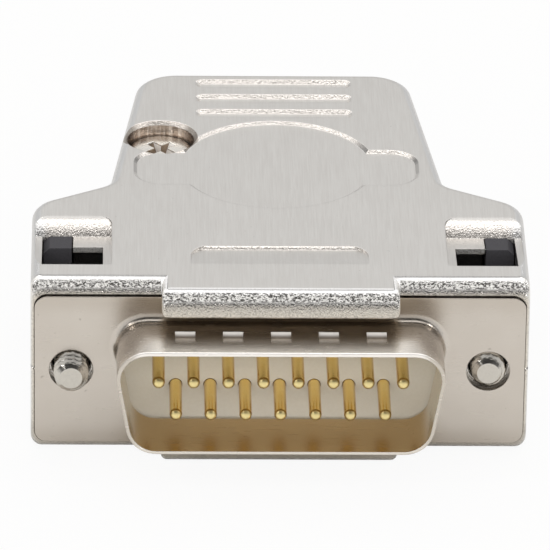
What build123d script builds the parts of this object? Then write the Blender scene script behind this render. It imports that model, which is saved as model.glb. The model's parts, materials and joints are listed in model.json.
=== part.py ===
"""Fifteen-way D-sub plug in a two-part die-cast hood.

Millimetres. X runs across the connector, -Y is the mating direction and +Z is up.
The origin is the centre of the pin field on the front face of the mounting flange.
"""
from math import cos, radians, sin, sqrt, tan
import os

from build123d import *

# Contact field
pin_pitch = 2.77
row_pitch = 2.84
upper_pins = 8
lower_pins = 7
pin_radius = 0.5
pin_tip = 5.24
collar_radius = 1.05
collar_length = 0.5
cup_radius = 0.8
cup_bore_radius = 0.5
cup_bore_depth = 2.8
cup_window_length = 2.2
cup_window_floor = 0.1
cup_end = 10.4

# Drawn plug shell
sheet = 0.5
shell_wall = 0.3
mouth_side = 3.03
mouth_rise = 2.83
mouth_corner = 2.2
screw_margin = 3.935
flange_hole_radius = 1.75
flange_end = 2.91
flange_rim = 2.25
flange_corner = 1.0
mouth_reach = 5.8
side_slope = 10
flare_radius = 0.6
inner_flare_radius = 0.9
rim_rounding = 0.12
dimple_count = 5
dimple_pitch = 3.8
dimple_setback = 2.1
dimple_width = 1.6
dimple_length = 2.0
dimple_depth = 0.33
dimple_wall = 0.2

# Rear shell and insulators
rear_shell_side = 0.475
rear_shell_rise = 1.0
rear_shell_wall = 0.4
rear_shell_corner = 2.6
rear_shell_end = 5.6
insulator_face = 0.3
insulator_split = 3.2
insulator_end = 6.2
insulator_gap = 0.05
insulator_lip_gap = 0.02
pin_gap = 0.03

# Hood outline in plan
hood_side = 0.33
hood_cover = 1.06
hood_rear = 39.45
shoulder_corner_y = 14.95
shoulder_corner_radius = 3.0
shoulder_step = 6.23
neck_root_y = 18.65
neck_root_radius = 2.0
neck_taper = 2.49
rear_corner_radius = 3.5
front_rounding = 1.9
edge_rounding = 0.9
parting_chamfer = 0.12

# Hood walls
roof_wall = 1.5
side_wall = 1.5
rear_wall = 2.0
cavity_inset = 0.625
cavity_front = 4.0
cavity_corner = 0.8
shell_space_end = 7.0
shell_space_gap = 0.2
flange_seat_gap = 0.1
flange_edge_gap = 0.05
flange_slot_room = 0.12
slot_corner = 1.05

# Front lips that hook over the flange
lip_inset = 3.255
lip_reach = 2.4
lip_thickness = 1.66
lip_gap = 0.05
lip_end_rounding = 0.5

# Surface recesses, whose walls slope far from upright
recess_slope = 55
label_radius = 8.1
label_ahead = 5.05
label_bar_half_length = 11.7
label_bar_width = 6.5
label_bar_ahead = 5.6
label_bar_corner = 2.4
label_depth = 0.2
groove_count = 3
groove_pitch = 2.86
groove_width = 1.5
groove_half_length = 6.5
groove_behind = 1.4
groove_depth = 0.26
groove_corner = 0.6
thumb_half_width = 7.1
thumb_near_edge = 3.9
thumb_far_edge = 7.2
thumb_corner = 1.8
thumb_depth = 0.2
thumb_wall_rounding = 0.5

# Shoulder pockets with a rounded far wall, and the windows through their floors
pocket_edge = 0.3
pocket_frame = 0.7
pocket_near_edge = 3.7
pocket_far_edge = 12.45
pocket_depth = 0.95
pocket_wall_rounding = 2.6
pocket_corner = 1.4
window_inboard = 2.51
window_outboard = 2.39
window_far_edge = 7.92
ledge_thickness = 0.5

# Hood screws
hood_screw_inset = 3.214
boss_radius = 3.6
boss_gap = 1.55
counterbore_radius = 2.75
counterbore_bevel = 0.3
head_sink = 1.3
hood_head_radius = 2.45
hood_head_height = 1.7
hood_head_rounding = 0.4
hood_screw_radius = 1.25
clearance_hole_radius = 1.4
thread_gap = 0.03
hood_screw_reach = 4.4
thread_hole_depth = 5.0
cross_width = 0.75
cross_length = 3.1
cross_depth = 1.0
cross_turn = 20

# Captive jackscrews, each with its knurled head, retaining ring and clip
thread_radius = 1.4
thread_chamfer = 0.4
thread_clearance = 0.2
shank_radius = 1.2
groove_radius = 0.85
ring_radius = 2.05
ring_thickness = 0.5
ring_side_gap = 0.05
ring_bore_gap = 0.06
ring_mouth = 1.3
head_radius = 2.6
head_length = 5.0
head_chamfer = 0.4
driver_slot_width = 0.8
driver_slot_depth = 1.2
flute_count = 20
flute_depth = 0.22
left_protrusion = 1.5
right_protrusion = 0.4
full_protrusion = 5.0
bulkhead_end = 3.4
channel_half_height = 4.6
clip_front = 10.9
clip_thickness = 2.3
clip_gap = 0.1
clip_mouth = 2.1
stop_gap = 0.1
clip_half_height = 2.6
arm_half_height = 5.0
arm_root = 3.3
tab_front = 8.2
tab_sink = 0.86
tab_chamfer = 0.5
shank_hole_radius = 1.4
head_seat_y = 15.8
head_seat_radius = 2.9

# Locating pegs between the halves
peg_wall = 1.2
peg_y = 14.5
peg_radius = 0.7
peg_height = 1.2
peg_gap = 0.1

# Cable entry and clamp
entry_radius = 4.5
clamp_bore_radius = 4.2
clamp_gap = 0.25
clamp_split = 0.3
clamp_wall = 1.6
clamp_foot_half_width = 2.5
clamp_ear_top = 2.6
clamp_side_gap = 0.45
clamp_length = 5.0
clamp_screw_inset = 2.0
clamp_screw_radius = 1.1
clamp_head_radius = 1.9
clamp_head_height = 1.4
clamp_slot_width = 0.5

mouth_width = (upper_pins - 1) * pin_pitch + 2 * mouth_side
mouth_height = row_pitch + 2 * mouth_rise
screw_x = mouth_width / 2 + screw_margin
flange_width = 2 * (screw_x + flange_end)
flange_height = mouth_height + 2 * flange_rim
rear_shell_width = mouth_width + 2 * rear_shell_side
rear_shell_height = mouth_height + 2 * rear_shell_rise
half_width = flange_width / 2 + hood_side
half_height = flange_height / 2 + hood_cover
neck_root_half_width = half_width - shoulder_step
neck_rear_half_width = neck_root_half_width - neck_taper
cavity_half_width = mouth_width / 2 - cavity_inset
flange_slot_half_height = flange_height / 2 + flange_slot_room
lip_half_width = mouth_width / 2 - lip_inset
lip_underside = half_height - lip_thickness
window_inner = screw_x - window_inboard
window_outer = screw_x + window_outboard
pocket_inner = window_inner - pocket_frame
pocket_outer = half_width - pocket_edge
peg_x = cavity_half_width + peg_wall
roof_z = half_height - roof_wall
inner_rear = hood_rear - rear_wall
flange_back = 2 * sheet
seat_y = flange_back + flange_seat_gap
clip_back = clip_front + clip_thickness
thread_hole_radius = thread_radius + thread_clearance
thread_length = clip_front - stop_gap - ring_thickness - ring_side_gap
head_start = head_seat_y + stop_gap + full_protrusion
shell_space_half_width = rear_shell_width / 2 + shell_space_gap
shell_space_half_height = rear_shell_height / 2 + shell_space_gap
clamp_back = inner_rear - clamp_gap
clamp_middle = clamp_back - clamp_length / 2
hood_screw_y = clamp_back - clamp_length - boss_gap - boss_radius
label_y = hood_screw_y - label_ahead
label_bar_y = hood_screw_y - label_bar_ahead
groove_far_edge = hood_rear - groove_behind
pocket_wall_foot = pocket_far_edge - sqrt(pocket_wall_rounding ** 2 - (pocket_wall_rounding - pocket_depth) ** 2)
tab_back = pocket_wall_foot - clip_gap
tab_top = half_height - tab_sink


def across(y):
    """Sketch plane at depth y that faces the mating side; its local y is up."""
    return Plane.XZ.offset(-y)


def d_outline(width, height, corner):
    """D outline of the given overall size, wide side up, with sloping sides."""
    lean = tan(radians(side_slope))
    sharp = corner * (lean + 1 / cos(radians(side_slope)) - 1)
    top = width / 2 + sharp
    bottom = top - height * lean
    points = [(-top, height / 2), (top, height / 2), (bottom, -height / 2), (-bottom, -height / 2)]
    with BuildSketch(mode=Mode.PRIVATE) as outline:
        Polygon(*points, align=None)
        fillet(outline.vertices(), corner)
    return outline.sketch


def pin_places():
    """Each contact's x, z and the side its solder cup opens to, in counting order."""
    rows = [(upper_pins, row_pitch / 2, 1), (lower_pins, -row_pitch / 2, -1)]
    for count, z, side in rows:
        for i in range(count):
            yield (i - (count - 1) / 2) * pin_pitch, z, side


def neck_half_width(y):
    """Half-width of the hood's neck at depth y."""
    share = (y - neck_root_y) / (hood_rear - neck_root_y)
    return neck_root_half_width + share * (neck_rear_half_width - neck_root_half_width)


hood_screw_x = neck_half_width(hood_screw_y) - hood_screw_inset
clamp_half_width = neck_half_width(clamp_back) - side_wall - clamp_side_gap
clamp_screw_x = clamp_half_width - clamp_screw_inset

# Plug shell: flange with a drawn D-shaped skirt, base flare and grounding dimples
with BuildPart() as plug_shell:
    with BuildSketch(across(sheet)):
        RectangleRounded(flange_width, flange_height, flange_corner)
    extrude(amount=sheet)
    with BuildSketch(across(sheet)):
        add(d_outline(mouth_width + 2 * shell_wall, mouth_height + 2 * shell_wall, mouth_corner + shell_wall))
    extrude(amount=sheet + mouth_reach)
    base_edges = plug_shell.edges().filter_by_position(Axis.Y, -0.001, 0.001)
    skirt_base = base_edges.filter_by(lambda e: abs(e.center().X) < mouth_width / 2 + 1)
    skirt_base = skirt_base.filter_by(lambda e: abs(e.center().Z) < mouth_height / 2 + 1)
    fillet(skirt_base, flare_radius)
    fillet(plug_shell.faces().sort_by(Axis.Y)[0].edges(), rim_rounding)
    with BuildSketch(across(sheet)):
        add(d_outline(mouth_width, mouth_height, mouth_corner))
    extrude(amount=sheet + mouth_reach, mode=Mode.SUBTRACT)
    back_face = plug_shell.faces().sort_by(Axis.Y)[-1]
    fillet(back_face.inner_wires()[0].edges(), inner_flare_radius)
    with BuildSketch(across(sheet)):
        with Locations((-screw_x, 0), (screw_x, 0)):
            Circle(flange_hole_radius)
    extrude(amount=sheet, mode=Mode.SUBTRACT)
    skirt_inside = mouth_height / 2
    skirt_middle = skirt_inside + shell_wall / 2
    skirt_top = skirt_inside + shell_wall
    dimple_far = -dimple_setback
    dimple_foot = dimple_far - dimple_depth
    dimple_near = dimple_far - dimple_length
    bulge_bottom = skirt_top - dimple_depth - dimple_wall
    for i in range(dimple_count):
        dimple_x = (i - (dimple_count - 1) / 2) * dimple_pitch
        with BuildSketch(Plane.YZ.offset(dimple_x)):
            Polygon((dimple_near, skirt_inside), (dimple_foot, bulge_bottom),
                    (dimple_foot + dimple_wall, bulge_bottom), (dimple_far + dimple_wall, skirt_inside),
                    (dimple_far + dimple_wall, skirt_middle), (dimple_near, skirt_middle), align=None)
        extrude(amount=dimple_width / 2 + dimple_wall, both=True)
        with BuildSketch(Plane.YZ.offset(dimple_x)):
            Polygon((dimple_near, skirt_top), (dimple_foot, skirt_top - dimple_depth), (dimple_far, skirt_top),
                    (dimple_far, skirt_top + shell_wall), (dimple_near, skirt_top + shell_wall), align=None)
        extrude(amount=dimple_width / 2, both=True, mode=Mode.SUBTRACT)
plug_shell.part.label = "plug_shell"

# Rear shell: second flange sheet with the D-shaped cup that closes round the insulators
with BuildPart() as rear_shell:
    with BuildSketch(across(flange_back)):
        RectangleRounded(flange_width - sheet, flange_height - sheet, flange_corner)
        with Locations((-screw_x, 0), (screw_x, 0)):
            Circle(flange_hole_radius, mode=Mode.SUBTRACT)
    extrude(amount=sheet)
    with BuildSketch(across(rear_shell_end)):
        add(d_outline(rear_shell_width, rear_shell_height, rear_shell_corner))
    extrude(amount=rear_shell_end - flange_back)
    inner_width = rear_shell_width - 2 * rear_shell_wall
    inner_height = rear_shell_height - 2 * rear_shell_wall
    with BuildSketch(across(rear_shell_end)):
        add(d_outline(inner_width, inner_height, rear_shell_corner - rear_shell_wall))
    extrude(amount=rear_shell_end, mode=Mode.SUBTRACT)
rear_shell.part.label = "rear_shell"

body_width = inner_width - 2 * insulator_gap
body_height = inner_height - 2 * insulator_gap
body_corner = rear_shell_corner - rear_shell_wall
flare_depth = insulator_face - sheet + inner_flare_radius
flare_spread = inner_flare_radius - sqrt(inner_flare_radius ** 2 - flare_depth ** 2)
face_spread = flare_spread - insulator_lip_gap

# Front insulator: its lip fills the skirt's inner flare, with stepped contact holes
with BuildPart() as insulator_front:
    with BuildSketch(across(insulator_split)):
        add(d_outline(body_width, body_height, body_corner))
    extrude(amount=insulator_split - sheet)
    with BuildSketch(across(sheet)):
        add(d_outline(mouth_width + 2 * face_spread, mouth_height + 2 * face_spread, mouth_corner + face_spread))
    extrude(amount=sheet - insulator_face)
    pin_points = [(x, z) for x, z, side in pin_places()]
    with BuildSketch(across(insulator_split)):
        with Locations(*pin_points):
            Circle(pin_radius + pin_gap)
    extrude(amount=insulator_split - insulator_face, mode=Mode.SUBTRACT)
    with BuildSketch(across(insulator_split)):
        with Locations(*pin_points):
            Circle(collar_radius + pin_gap)
    extrude(amount=collar_length, mode=Mode.SUBTRACT)
insulator_front.part.label = "insulator_front"

# Rear insulator: holds the contact collars against the front one
with BuildPart() as insulator_rear:
    with BuildSketch(across(insulator_end)):
        add(d_outline(body_width, body_height, body_corner))
    extrude(amount=insulator_end - insulator_split)
    with BuildSketch(across(insulator_end)):
        with Locations(*pin_points):
            Circle(cup_radius + pin_gap)
    extrude(amount=insulator_end - insulator_split, mode=Mode.SUBTRACT)
insulator_rear.part.label = "insulator_rear"


def make_pin(x, z, side):
    """One contact: round-nosed pin, collar, and a solder cup that opens to its side."""
    collar_front = insulator_split - collar_length
    with BuildPart() as contact:
        with BuildSketch(Plane.XY):
            with BuildLine():
                nose = -pin_tip + pin_radius
                RadiusArc((0, -pin_tip), (pin_radius, nose), -pin_radius)
                Polyline((pin_radius, nose), (pin_radius, collar_front), (collar_radius, collar_front),
                         (collar_radius, insulator_split), (cup_radius, insulator_split),
                         (cup_radius, cup_end), (0, cup_end), (0, -pin_tip))
            make_face()
        revolve(axis=Axis.Y)
        with BuildSketch(across(cup_end)):
            Circle(cup_bore_radius)
        extrude(amount=cup_bore_depth, mode=Mode.SUBTRACT)
        with Locations((0, cup_end - cup_window_length / 2, side * cup_radius)):
            Box(2 * cup_radius, cup_window_length, 2 * (cup_radius - cup_window_floor), mode=Mode.SUBTRACT)
    return contact.part.moved(Location((x, 0, z)))


def make_lip():
    """Centre lip: rounded nose in front of the flange, with softened ends."""
    centre_y = front_rounding - lip_reach
    centre_z = half_height - front_rounding
    run = sqrt(front_rounding ** 2 - (lip_underside - centre_z) ** 2)
    start = (centre_y - run, lip_underside)
    middle = (centre_y - front_rounding * sin(radians(45)), centre_z + front_rounding * sin(radians(45)))
    end = (centre_y, half_height)
    root = 2 * front_rounding
    with BuildPart() as lip:
        with BuildSketch(Plane.YZ):
            with BuildLine():
                ThreePointArc(start, middle, end)
                Polyline(end, (root, half_height), (root, lip_underside), start)
            make_face()
        extrude(amount=lip_half_width, both=True)
        end_edges = lip.edges().filter_by(lambda e: abs(e.center().X) > lip_half_width / 2)
        fillet(end_edges.filter_by(lambda e: e.center().Y < root - lip_reach / 2), lip_end_rounding)
    return lip.part


def cut_box(x_range, y_range, z_range):
    """Cuts a box, given by its ranges, out of the part being built."""
    ranges = [sorted(x_range), sorted(y_range), sorted(z_range)]
    with Locations(tuple((low + high) / 2 for low, high in ranges)):
        Box(*[high - low for low, high in ranges], mode=Mode.SUBTRACT)


def cut_bore(x, z, radius, y_range):
    """Cuts a round hole that runs along Y out of the part being built."""
    front, back = y_range
    with BuildSketch(across(back), mode=Mode.PRIVATE) as mouth:
        with Locations((x, z)):
            Circle(radius)
    extrude(mouth.sketch, amount=back - front, mode=Mode.SUBTRACT)


def make_ramp(x_range, y_range, depth, wall_rounding, corner):
    """Space of a recess whose floor slopes down from its near edge to a rounded far wall."""
    low, high = sorted(x_range)
    near_edge, far_edge = y_range
    above = half_height + 1
    foot = far_edge - sqrt(wall_rounding ** 2 - (wall_rounding - depth) ** 2)
    with BuildPart() as ramp:
        with BuildSketch(Plane.YZ.offset(low)):
            with BuildLine():
                Polyline((far_edge, half_height), (far_edge, above), (near_edge, above),
                         (near_edge, half_height), (foot, half_height - depth))
                RadiusArc((foot, half_height - depth), (far_edge, half_height), wall_rounding)
            make_face()
        extrude(amount=high - low)
        with BuildSketch(Plane.XY.offset(half_height - depth)):
            with Locations(((low + high) / 2, (near_edge - corner + far_edge) / 2)):
                RectangleRounded(high - low, far_edge - near_edge + corner, corner)
        extrude(amount=above, mode=Mode.INTERSECT)
    return ramp.part


def cut_recess(outline, depth):
    """Cuts a shallow recess in the outer face, whose walls slope in from the outline."""
    with BuildPart(mode=Mode.PRIVATE) as space:
        add(outline)
        extrude(amount=depth, taper=recess_slope)
    add(mirror(space.part, about=Plane.XY, mode=Mode.PRIVATE).moved(Location((0, 0, half_height))),
        mode=Mode.SUBTRACT)


def cut_channel(x_range):
    """Cuts the jackscrew's channel, whose roof runs below the pocket floor by the ledge's thickness."""
    low, high = sorted(x_range)
    back = clip_front - clip_gap
    slope = pocket_depth / (pocket_wall_foot - pocket_near_edge)
    roof_front = half_height - ledge_thickness
    roof_back = roof_front - slope * (back - pocket_near_edge)
    with BuildSketch(Plane.YZ.offset(low), mode=Mode.PRIVATE) as section:
        Polygon((bulkhead_end, 0), (back, 0), (back, roof_back), (pocket_near_edge, roof_front),
                (pocket_near_edge, channel_half_height), (bulkhead_end, channel_half_height), align=None)
    extrude(section.sketch, amount=high - low, mode=Mode.SUBTRACT)


def make_hood_half():
    """Upper half of the hood; the lower half is the same casting, turned over about Y."""
    with BuildPart() as blank:
        with BuildSketch():
            with BuildLine():
                FilletPolyline((half_width, 0), (half_width, shoulder_corner_y),
                               (neck_root_half_width, neck_root_y), (neck_rear_half_width, hood_rear),
                               (0, hood_rear),
                               radius=[shoulder_corner_radius, neck_root_radius, rear_corner_radius])
                Line((0, 0), (half_width, 0))
                mirror(about=Plane.YZ)
            make_face()
        extrude(amount=half_height)
        fillet(blank.faces().sort_by(Axis.Z)[-1].edges().sort_by(Axis.Y)[0], front_rounding)
        crown = blank.edges().filter_by(lambda e: e.center().Z > half_height - 1)
        crown = crown.filter_by(lambda e: e.length < 2 * half_width - 1)
        fillet(crown, edge_rounding)
        chamfer(blank.faces().sort_by(Axis.Z)[0].edges(), parting_chamfer)

    lip = make_lip()
    pockets = [make_ramp((side * pocket_inner, side * pocket_outer), (pocket_near_edge, pocket_far_edge),
                         pocket_depth, pocket_wall_rounding, pocket_corner) for side in (-1, 1)]
    thumb_recess = make_ramp((-thumb_half_width, thumb_half_width), (thumb_near_edge, thumb_far_edge),
                             thumb_depth, thumb_wall_rounding, thumb_corner)

    with BuildPart() as half:
        add(blank.part)
        add(lip)

        # Slot that takes the flange edge, and the space for the rear shell behind it
        with BuildSketch(across(seat_y)):
            RectangleRounded(flange_width + 2 * flange_edge_gap, 2 * flange_slot_half_height, slot_corner)
        extrude(amount=seat_y + lip_gap, mode=Mode.SUBTRACT)
        cut_box((-shell_space_half_width, shell_space_half_width), (seat_y, shell_space_end),
                (0, shell_space_half_height))

        # Wiring space, left solid round the screw bosses
        with BuildSketch():
            with BuildLine():
                FilletPolyline((0, cavity_front), (cavity_half_width, cavity_front),
                               (cavity_half_width, neck_root_y),
                               (neck_half_width(inner_rear) - side_wall, inner_rear), (0, inner_rear),
                               radius=cavity_corner)
                mirror(about=Plane.YZ)
            make_face()
            with Locations((-hood_screw_x, hood_screw_y), (hood_screw_x, hood_screw_y)):
                Circle(boss_radius, mode=Mode.SUBTRACT)
        extrude(amount=roof_z, mode=Mode.SUBTRACT)

        # Jackscrew channels, clip slots, bores and head seats
        for side in (-1, 1):
            cut_bore(side * screw_x, 0, thread_hole_radius, (0, bulkhead_end))
            cut_bore(side * screw_x, 0, shank_hole_radius, (clip_front, head_seat_y))
            cut_bore(side * screw_x, 0, head_seat_radius, (head_seat_y, neck_root_y + 2 * head_radius))
            wide = (side * window_inner, side * window_outer)
            outboard = (side * (screw_x - clip_gap), side * window_outer)
            clip_slot = (clip_front - clip_gap, clip_back + clip_gap)
            cut_channel(wide)
            cut_box(wide, clip_slot, (0, clip_half_height + clip_gap))
            cut_box(outboard, clip_slot, (0, arm_half_height + clip_gap))

        # Shoulder pockets and the windows through their floors
        for side, pocket in zip((-1, 1), pockets):
            add(pocket, mode=Mode.SUBTRACT)
            above = half_height + 1
            cut_box((side * window_inner, side * window_outer), (pocket_near_edge, window_far_edge),
                    (channel_half_height - 1, above))
            cut_box((side * (screw_x - clip_gap), side * window_outer), (window_far_edge, pocket_wall_foot),
                    (channel_half_height - 1, above))

        # Bare label recess, grip grooves and thumb recess in the outer face
        with BuildSketch(mode=Mode.PRIVATE) as label_disc:
            with Locations((0, label_y)):
                Circle(label_radius)
        with BuildSketch(mode=Mode.PRIVATE) as label_bar:
            with Locations((0, label_bar_y)):
                RectangleRounded(2 * label_bar_half_length, label_bar_width, label_bar_corner)
        groove_middle = groove_far_edge - groove_width / 2 - groove_pitch * (groove_count - 1) / 2
        with BuildSketch(mode=Mode.PRIVATE) as grooves:
            with Locations((0, groove_middle)):
                with GridLocations(1, groove_pitch, 1, groove_count):
                    RectangleRounded(2 * groove_half_length, groove_width, groove_corner)
        cut_recess(label_disc.sketch, label_depth)
        cut_recess(label_bar.sketch, label_depth)
        cut_recess(grooves.sketch, groove_depth)
        add(thumb_recess, mode=Mode.SUBTRACT)

        # Screw passage on one side, threaded boss on the other
        with Locations((-hood_screw_x, hood_screw_y, half_height)):
            CounterBoreHole(clearance_hole_radius, counterbore_radius, head_sink + hood_head_height)
            Cone(counterbore_radius, counterbore_radius + counterbore_bevel, counterbore_bevel,
                 align=(Align.CENTER, Align.CENTER, Align.MAX), mode=Mode.SUBTRACT)
        with Locations((hood_screw_x, hood_screw_y, 0)):
            Cylinder(hood_screw_radius + thread_gap, 2 * thread_hole_depth, mode=Mode.SUBTRACT)

        # Round cable entry in the rear wall
        cut_bore(0, 0, entry_radius, (inner_rear, hood_rear))

        # Locating peg, and the socket for the other half's peg
        with Locations((peg_x, peg_y, 0)):
            Cylinder(peg_radius, 2 * peg_height)
        with Locations((-peg_x, peg_y, 0)):
            Cylinder(peg_radius + peg_gap, 2 * (peg_height + peg_gap), mode=Mode.SUBTRACT)
    return half.part


# Hood halves
upper_half = make_hood_half()
with BuildPart() as hood_top:
    add(upper_half)
hood_top.part.label = "hood_top"

with BuildPart() as hood_bottom:
    add(upper_half, rotation=(0, 180, 0))
hood_bottom.part.label = "hood_bottom"


def make_hood_screw():
    """Pan-head hood screw with a cross recess, standing as the upper one does."""
    head_top = half_height - head_sink
    head_base = head_top - hood_head_height
    with BuildPart() as screw:
        with BuildSketch(Plane.XY.offset(head_base)):
            Circle(hood_head_radius)
        extrude(amount=hood_head_height)
        fillet(screw.edges().sort_by(Axis.Z)[-1], hood_head_rounding)
        with BuildSketch(Plane.XY.offset(-hood_screw_reach)):
            Circle(hood_screw_radius)
        extrude(amount=head_base + hood_screw_reach)
        with Locations((0, 0, head_top)):
            for turn in (cross_turn, cross_turn + 90):
                Box(cross_length, cross_width, 2 * cross_depth, rotation=(0, 0, turn), mode=Mode.SUBTRACT)
    return screw.part.moved(Location((-hood_screw_x, hood_screw_y, 0)))


upper_screw = make_hood_screw()
with BuildPart() as hood_screw_top:
    add(upper_screw)
hood_screw_top.part.label = "hood_screw_top"

with BuildPart() as hood_screw_bottom:
    add(upper_screw, rotation=(0, 180, 0))
hood_screw_bottom.part.label = "hood_screw_bottom"


def make_jackscrew(side, protrusion):
    """Captive jackscrew on its axis, with its tip standing out by the given protrusion."""
    tip = -protrusion
    thread_end = tip + thread_length
    ring_front = thread_end + ring_side_gap
    groove_end = ring_front + ring_thickness + ring_side_gap
    head_front = tip + head_start
    head_end = head_front + head_length
    with BuildPart() as screw:
        with BuildSketch(Plane.XY):
            with BuildLine():
                Polyline((0, tip), (thread_radius - thread_chamfer, tip), (thread_radius, tip + thread_chamfer),
                         (thread_radius, thread_end), (groove_radius, thread_end),
                         (groove_radius, groove_end), (shank_radius, groove_end),
                         (shank_radius, head_front), (head_radius - head_chamfer, head_front),
                         (head_radius, head_front + head_chamfer), (head_radius, head_end - head_chamfer),
                         (head_radius - head_chamfer, head_end), (0, head_end), (0, tip))
            make_face()
        revolve(axis=Axis.Y)
        with Locations((0, head_end, 0)):
            Box(2 * head_radius, 2 * driver_slot_depth, driver_slot_width, mode=Mode.SUBTRACT)
        with BuildSketch(across(head_end)):
            with PolarLocations(head_radius, flute_count):
                Rectangle(flute_depth * sqrt(2), flute_depth * sqrt(2), rotation=45)
        extrude(amount=head_length, mode=Mode.SUBTRACT)
    return screw.part.moved(Location((side * screw_x, 0, 0)))


def make_ring(side, protrusion):
    """Retaining ring in the jackscrew's groove, open downwards."""
    ring_back = thread_length - protrusion + ring_side_gap + ring_thickness
    with BuildPart() as ring:
        with BuildSketch(across(ring_back)):
            Circle(ring_radius)
            Circle(groove_radius + ring_bore_gap, mode=Mode.SUBTRACT)
            with Locations((0, -ring_radius)):
                Rectangle(ring_mouth, 2 * ring_radius, mode=Mode.SUBTRACT)
        extrude(amount=ring_thickness)
    return ring.part.moved(Location((side * screw_x, 0, 0)))


def make_clip(side):
    """Plastic clip that snaps over the shank; its outboard tab shows in both windows."""
    inner = window_inner + clip_gap
    outer = window_outer - clip_gap
    with BuildPart() as clip:
        with BuildSketch(across(clip_back)):
            with Locations(((inner + outer) / 2, 0)):
                Rectangle(outer - inner, 2 * clip_half_height)
            with Locations(((screw_x + outer) / 2, 0)):
                Rectangle(outer - screw_x, 2 * arm_half_height)
            with Locations((screw_x, 0)):
                Circle(shank_radius + clip_gap, mode=Mode.SUBTRACT)
            with Locations(((inner + screw_x) / 2, 0)):
                Rectangle(screw_x - inner, clip_mouth, mode=Mode.SUBTRACT)
        extrude(amount=clip_thickness)
        clip_middle = clip_front + clip_thickness / 2
        with BuildSketch(Plane.YZ.offset(screw_x)):
            Polygon((tab_front, arm_root), (clip_middle, arm_root), (clip_middle, arm_half_height),
                    (tab_back, arm_half_height), (tab_back, tab_top), (tab_front, tab_top), align=None)
            mirror(about=Plane.XZ)
        extrude(amount=outer - screw_x)
        tips = clip.edges().filter_by(Axis.Y).filter_by(lambda e: abs(e.center().Z) > tab_top - 0.1)
        chamfer(tips.filter_by(lambda e: e.center().X > outer - 0.1), tab_chamfer)
    if side < 0:
        return clip.part.mirror(Plane.YZ)
    return clip.part


# Captive screws, one each side, at their own depths
captive_pieces = []
for name, side, protrusion in (("left", -1, left_protrusion), ("right", 1, right_protrusion)):
    with BuildPart() as jackscrew:
        add(make_jackscrew(side, protrusion))
    jackscrew.part.label = f"jackscrew_{name}"
    with BuildPart() as retaining_ring:
        add(make_ring(side, protrusion))
    retaining_ring.part.label = f"retaining_ring_{name}"
    with BuildPart() as screw_clip:
        add(make_clip(side))
    screw_clip.part.label = f"screw_clip_{name}"
    captive_pieces += [jackscrew.part, retaining_ring.part, screw_clip.part]


def make_clamp_half():
    """Upper saddle of the cable clamp: an arch between two ears, with a foot up to the hood's roof."""
    crown = roof_z - clamp_gap
    with BuildPart() as saddle:
        with BuildSketch(across(clamp_back)):
            Circle(clamp_bore_radius + clamp_wall)
            Rectangle(2 * clamp_half_width, 2 * clamp_ear_top)
            Rectangle(2 * clamp_foot_half_width, 2 * crown)
            Rectangle(2 * clamp_half_width, 2 * crown, mode=Mode.INTERSECT)
            Circle(clamp_bore_radius, mode=Mode.SUBTRACT)
            Rectangle(2 * clamp_half_width, 2 * crown, align=(Align.CENTER, Align.MAX), mode=Mode.SUBTRACT)
            Rectangle(2 * clamp_half_width, 2 * clamp_split, mode=Mode.SUBTRACT)
        extrude(amount=clamp_length)
    return saddle.part


upper_saddle = make_clamp_half()
with BuildPart() as clamp_upper:
    add(upper_saddle)
    with Locations((-clamp_screw_x, clamp_middle, clamp_ear_top), (clamp_screw_x, clamp_middle, clamp_ear_top)):
        Hole(clamp_screw_radius + thread_gap)
clamp_upper.part.label = "clamp_upper"

with BuildPart() as clamp_lower:
    add(clamp_upper.part, rotation=(0, 180, 0))
clamp_lower.part.label = "clamp_lower"


def make_clamp_screw(x):
    """Slotted cheese-head screw that draws the two saddles together."""
    head_top = clamp_ear_top + clamp_head_height
    with BuildPart() as screw:
        with BuildSketch(Plane.XY.offset(clamp_ear_top)):
            Circle(clamp_head_radius)
        extrude(amount=clamp_head_height)
        with BuildSketch(Plane.XY.offset(-clamp_ear_top)):
            Circle(clamp_screw_radius)
        extrude(amount=2 * clamp_ear_top)
        with Locations((0, 0, head_top)):
            Box(2 * clamp_head_radius, clamp_slot_width, clamp_head_height, mode=Mode.SUBTRACT)
    return screw.part.moved(Location((x, clamp_middle, 0)))


with BuildPart() as clamp_screw_left:
    add(make_clamp_screw(-clamp_screw_x))
clamp_screw_left.part.label = "clamp_screw_left"

with BuildPart() as clamp_screw_right:
    add(make_clamp_screw(clamp_screw_x))
clamp_screw_right.part.label = "clamp_screw_right"

# Contacts, the upper row first
contacts = []
for number, (x, z, side) in enumerate(pin_places(), start=1):
    with BuildPart() as contact:
        add(make_pin(x, z, side))
    contact.part.label = f"pin_{number}"
    contacts.append(contact.part)

pieces = [plug_shell, rear_shell, insulator_front, insulator_rear, hood_top, hood_bottom, hood_screw_top,
          hood_screw_bottom, clamp_upper, clamp_lower, clamp_screw_left, clamp_screw_right]
os.makedirs("parts", exist_ok=True)
for solid in [piece.part for piece in pieces] + captive_pieces + contacts:
    export_step(solid, f"parts/{solid.label}.step")
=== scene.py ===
import json
from math import cos, pi, radians, sin

import bmesh
import bpy
from mathutils import Matrix, Vector


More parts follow.
